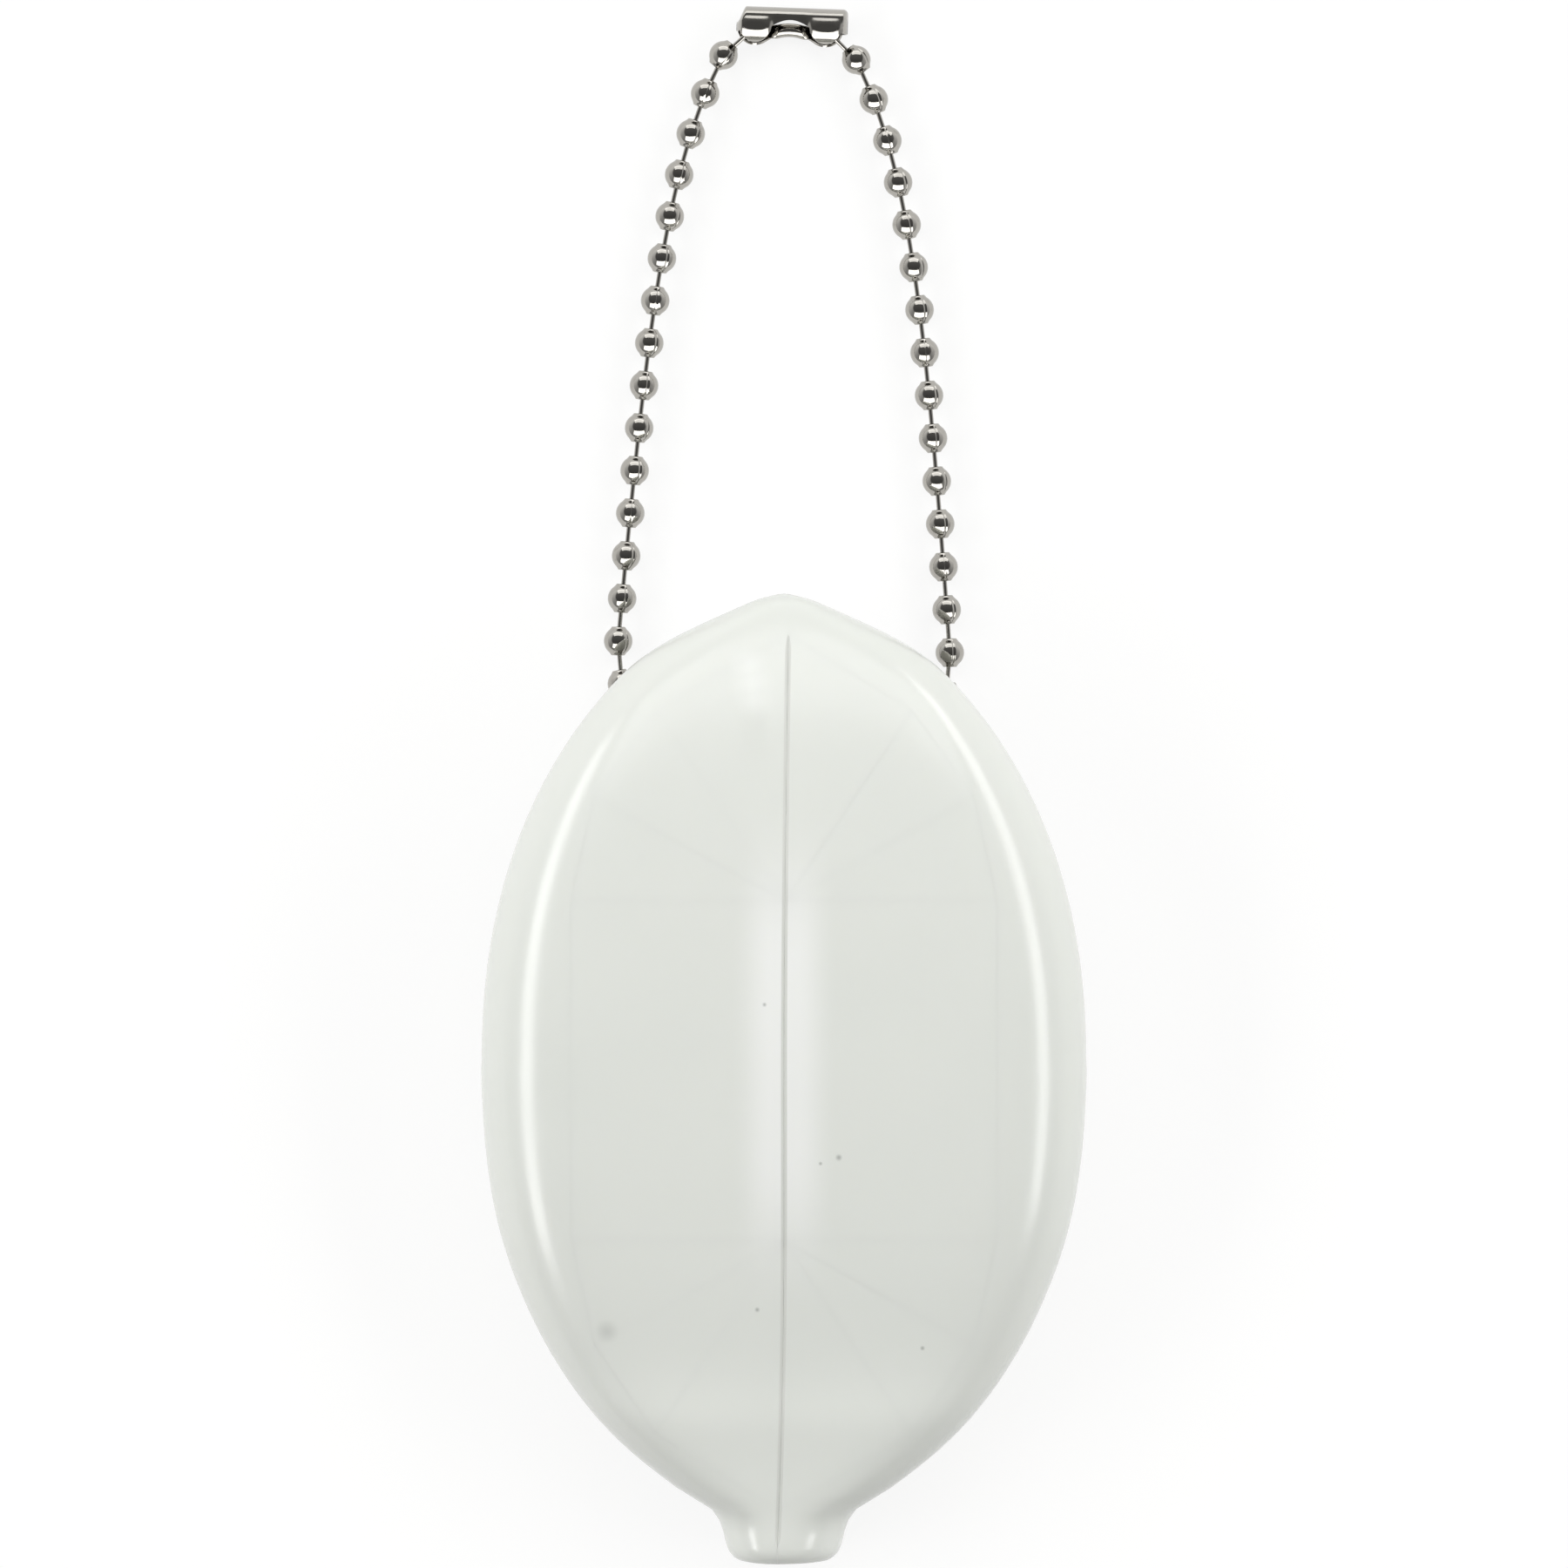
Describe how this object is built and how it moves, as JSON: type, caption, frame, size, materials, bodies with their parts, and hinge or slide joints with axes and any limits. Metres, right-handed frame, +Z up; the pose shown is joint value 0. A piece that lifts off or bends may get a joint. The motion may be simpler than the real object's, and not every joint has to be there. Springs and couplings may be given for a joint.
{
  "type": "squeeze coin purse",
  "caption": "Oval purse of soft vinyl, slit down its front so that it opens when its ends are squeezed, with a loop of ball chain closed by a folded sleeve.",
  "frame": {"origin": "middle of the whole object's plan, on the surface that it lies on", "axes": "+X to the right across the pouch, +Y from the neck towards the chain's sleeve, +Z up out of the slit"},
  "size_m": [0.05, 0.1288, 0.0163],
  "materials": {
    "vinyl": "glossy moulded white",
    "nickel_steel": "bright nickel plating"
  },
  "bodies": {
    "pouch": {"pouch_shell": "vinyl", "under_balls": "nickel_steel", "inner_balls": "nickel_steel", "hidden_links": "nickel_steel", "ball_left_15": "nickel_steel", "ball_right_15": "nickel_steel"},
    "left_lip": {"left_lip": "vinyl"},
    "right_lip": {"right_lip": "vinyl"},
    "chain_row_14": {"ball_left_14": "nickel_steel", "ball_right_14": "nickel_steel", "links_14": "nickel_steel"},
    "chain_row_13": {"ball_left_13": "nickel_steel", "ball_right_13": "nickel_steel", "links_13": "nickel_steel"},
    "chain_row_12": {"ball_left_12": "nickel_steel", "ball_right_12": "nickel_steel", "links_12": "nickel_steel"},
    "chain_row_11": {"ball_left_11": "nickel_steel", "ball_right_11": "nickel_steel", "links_11": "nickel_steel"},
    "chain_row_10": {"ball_left_10": "nickel_steel", "ball_right_10": "nickel_steel", "links_10": "nickel_steel"},
    "chain_row_09": {"ball_left_09": "nickel_steel", "ball_right_09": "nickel_steel", "links_09": "nickel_steel"},
    "chain_row_08": {"ball_left_08": "nickel_steel", "ball_right_08": "nickel_steel", "links_08": "nickel_steel"},
    "chain_row_07": {"ball_left_07": "nickel_steel", "ball_right_07": "nickel_steel", "links_07": "nickel_steel"},
    "chain_row_06": {"ball_left_06": "nickel_steel", "ball_right_06": "nickel_steel", "links_06": "nickel_steel"},
    "chain_row_05": {"ball_left_05": "nickel_steel", "ball_right_05": "nickel_steel", "links_05": "nickel_steel"},
    "chain_row_04": {"ball_left_04": "nickel_steel", "ball_right_04": "nickel_steel", "links_04": "nickel_steel"},
    "chain_row_03": {"ball_left_03": "nickel_steel", "ball_right_03": "nickel_steel", "links_03": "nickel_steel"},
    "chain_row_02": {"ball_left_02": "nickel_steel", "ball_right_02": "nickel_steel", "links_02": "nickel_steel"},
    "chain_row_01": {"ball_left_01": "nickel_steel", "ball_right_01": "nickel_steel", "links_01": "nickel_steel"},
    "chain_ends": {"end_ball_left": "nickel_steel", "end_ball_right": "nickel_steel", "links_00": "nickel_steel"},
    "sleeve": {"sleeve": "nickel_steel"}
  },
  "joints": [
    {"name": "left_lip_fold", "type": "hinge", "parent": "pouch", "child": "left_lip", "pos_m": [-0.0175, -0.02374, 0.01532], "axis": [0, -0.998, -0.0628], "range_deg": [0, 50], "stiffness_Nm_per_rad": 0.05},
    {"name": "right_lip_fold", "type": "hinge", "parent": "pouch", "child": "right_lip", "pos_m": [0.0175, -0.02374, 0.01532], "axis": [0, 0.998, 0.0628], "range_deg": [0, 50], "stiffness_Nm_per_rad": 0.05},
    {"name": "row_14_bend", "type": "hinge", "parent": "pouch", "child": "chain_row_14", "pos_m": [0, 0.01123, 0.0012], "axis": [0.9994, -0.0349, 0], "range_deg": [-12, 12]},
    {"name": "row_13_bend", "type": "hinge", "parent": "chain_row_14", "child": "chain_row_13", "pos_m": [0.00003, 0.01479, 0.0012], "axis": [0.9994, -0.0349, 0], "range_deg": [-12, 12]},
    {"name": "row_12_bend", "type": "hinge", "parent": "chain_row_13", "child": "chain_row_12", "pos_m": [0.00007, 0.01834, 0.0012], "axis": [0.9994, -0.0349, 0], "range_deg": [-12, 12]},
    {"name": "row_11_bend", "type": "hinge", "parent": "chain_row_12", "child": "chain_row_11", "pos_m": [0.00011, 0.0219, 0.0012], "axis": [0.9994, -0.0349, 0], "range_deg": [-12, 12]},
    {"name": "row_10_bend", "type": "hinge", "parent": "chain_row_11", "child": "chain_row_10", "pos_m": [0.00014, 0.02546, 0.0012], "axis": [0.9994, -0.0349, 0], "range_deg": [-12, 12]},
    {"name": "row_09_bend", "type": "hinge", "parent": "chain_row_10", "child": "chain_row_09", "pos_m": [0.00017, 0.02901, 0.0012], "axis": [0.9994, -0.0349, 0], "range_deg": [-12, 12]},
    {"name": "row_08_bend", "type": "hinge", "parent": "chain_row_09", "child": "chain_row_08", "pos_m": [0.00021, 0.03256, 0.0012], "axis": [0.9994, -0.0349, 0], "range_deg": [-12, 12]},
    {"name": "row_07_bend", "type": "hinge", "parent": "chain_row_08", "child": "chain_row_07", "pos_m": [0.00024, 0.03611, 0.0012], "axis": [0.9994, -0.0349, 0], "range_deg": [-12, 12]},
    {"name": "row_06_bend", "type": "hinge", "parent": "chain_row_07", "child": "chain_row_06", "pos_m": [0.00028, 0.03965, 0.0012], "axis": [0.9994, -0.0349, 0], "range_deg": [-12, 12]},
    {"name": "row_05_bend", "type": "hinge", "parent": "chain_row_06", "child": "chain_row_05", "pos_m": [0.00032, 0.04318, 0.0012], "axis": [0.9994, -0.0349, 0], "range_deg": [-12, 12]},
    {"name": "row_04_bend", "type": "hinge", "parent": "chain_row_05", "child": "chain_row_04", "pos_m": [0.00035, 0.0467, 0.0012], "axis": [0.9994, -0.0349, 0], "range_deg": [-12, 12]},
    {"name": "row_03_bend", "type": "hinge", "parent": "chain_row_04", "child": "chain_row_03", "pos_m": [0.00038, 0.05019, 0.0012], "axis": [0.9994, -0.0349, 0], "range_deg": [-12, 12]},
    {"name": "row_02_bend", "type": "hinge", "parent": "chain_row_03", "child": "chain_row_02", "pos_m": [0.00042, 0.05363, 0.0012], "axis": [0.9994, -0.0349, 0], "range_deg": [-12, 12]},
    {"name": "row_01_bend", "type": "hinge", "parent": "chain_row_02", "child": "chain_row_01", "pos_m": [0.00046, 0.05701, 0.0012], "axis": [0.9994, -0.0349, 0], "range_deg": [-12, 12]},
    {"name": "ends_bend", "type": "hinge", "parent": "chain_row_01", "child": "chain_ends", "pos_m": [0.00049, 0.06025, 0.0012], "axis": [0.9994, -0.0349, 0], "range_deg": [-9, 9]},
    {"name": "sleeve_swing", "type": "hinge", "parent": "chain_ends", "child": "sleeve", "pos_m": [0.00052, 0.06269, 0.00151], "axis": [0.9994, -0.0349, 0], "range_deg": [-15, 15]}
  ],
  "couplings": [
    {"joint": "right_lip_fold", "follows": "left_lip_fold", "ratio": 1},
    {"joint": "row_13_bend", "follows": "row_14_bend", "ratio": 1},
    {"joint": "row_12_bend", "follows": "row_14_bend", "ratio": 1},
    {"joint": "row_11_bend", "follows": "row_14_bend", "ratio": 1},
    {"joint": "row_10_bend", "follows": "row_14_bend", "ratio": 1},
    {"joint": "row_08_bend", "follows": "row_09_bend", "ratio": 1},
    {"joint": "row_07_bend", "follows": "row_09_bend", "ratio": 1},
    {"joint": "row_06_bend", "follows": "row_09_bend", "ratio": 1},
    {"joint": "row_05_bend", "follows": "row_09_bend", "ratio": 1},
    {"joint": "row_03_bend", "follows": "row_04_bend", "ratio": 1},
    {"joint": "row_02_bend", "follows": "row_04_bend", "ratio": 1},
    {"joint": "row_01_bend", "follows": "row_04_bend", "ratio": 1},
    {"joint": "ends_bend", "follows": "row_04_bend", "ratio": 0.75}
  ]
}
